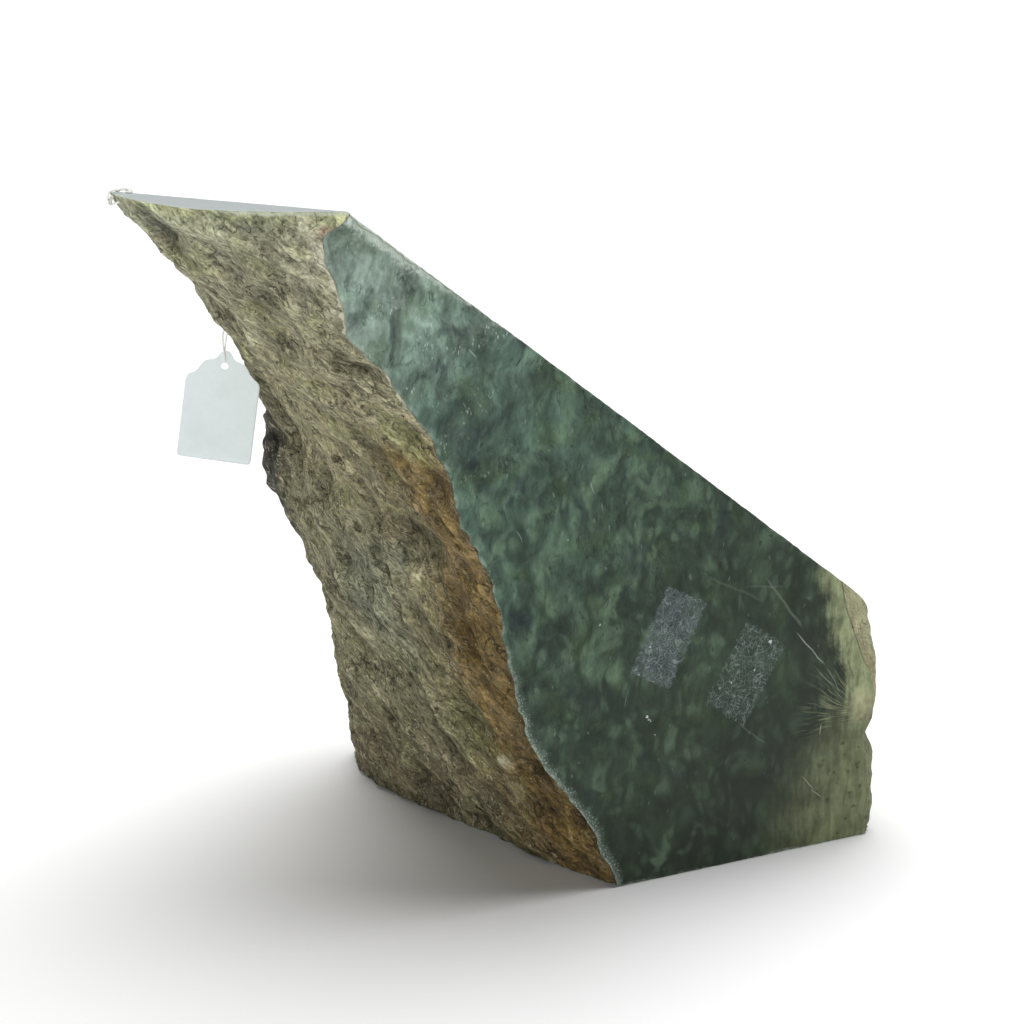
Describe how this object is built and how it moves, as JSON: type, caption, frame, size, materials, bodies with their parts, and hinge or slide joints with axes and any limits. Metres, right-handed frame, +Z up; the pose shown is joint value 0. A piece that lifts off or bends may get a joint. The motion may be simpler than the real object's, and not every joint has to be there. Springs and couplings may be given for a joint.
{
  "type": "raw jade boulder",
  "caption": "Raw jade boulder with a sawn polished front, a flat base and top, a sloping sawn back and rough rind, with a blank strung ticket.",
  "frame": {"origin": "under the middle of the boulder's bounding box, on its sawn base", "axes": "+Z up, -Y out of the polished front face, +X to the right along the front's longer way"},
  "size_m": [0.3362, 0.2292, 0.3016],
  "materials": {
    "stone": "green jade, polished on the front face, sawn or rough elsewhere",
    "card": "matt blank paper card",
    "string": "matt cotton"
  },
  "bodies": {
    "root": {"jade_boulder": "stone", "paper_ticket": "card", "ticket_string": "string"}
  },
  "joints": []
}
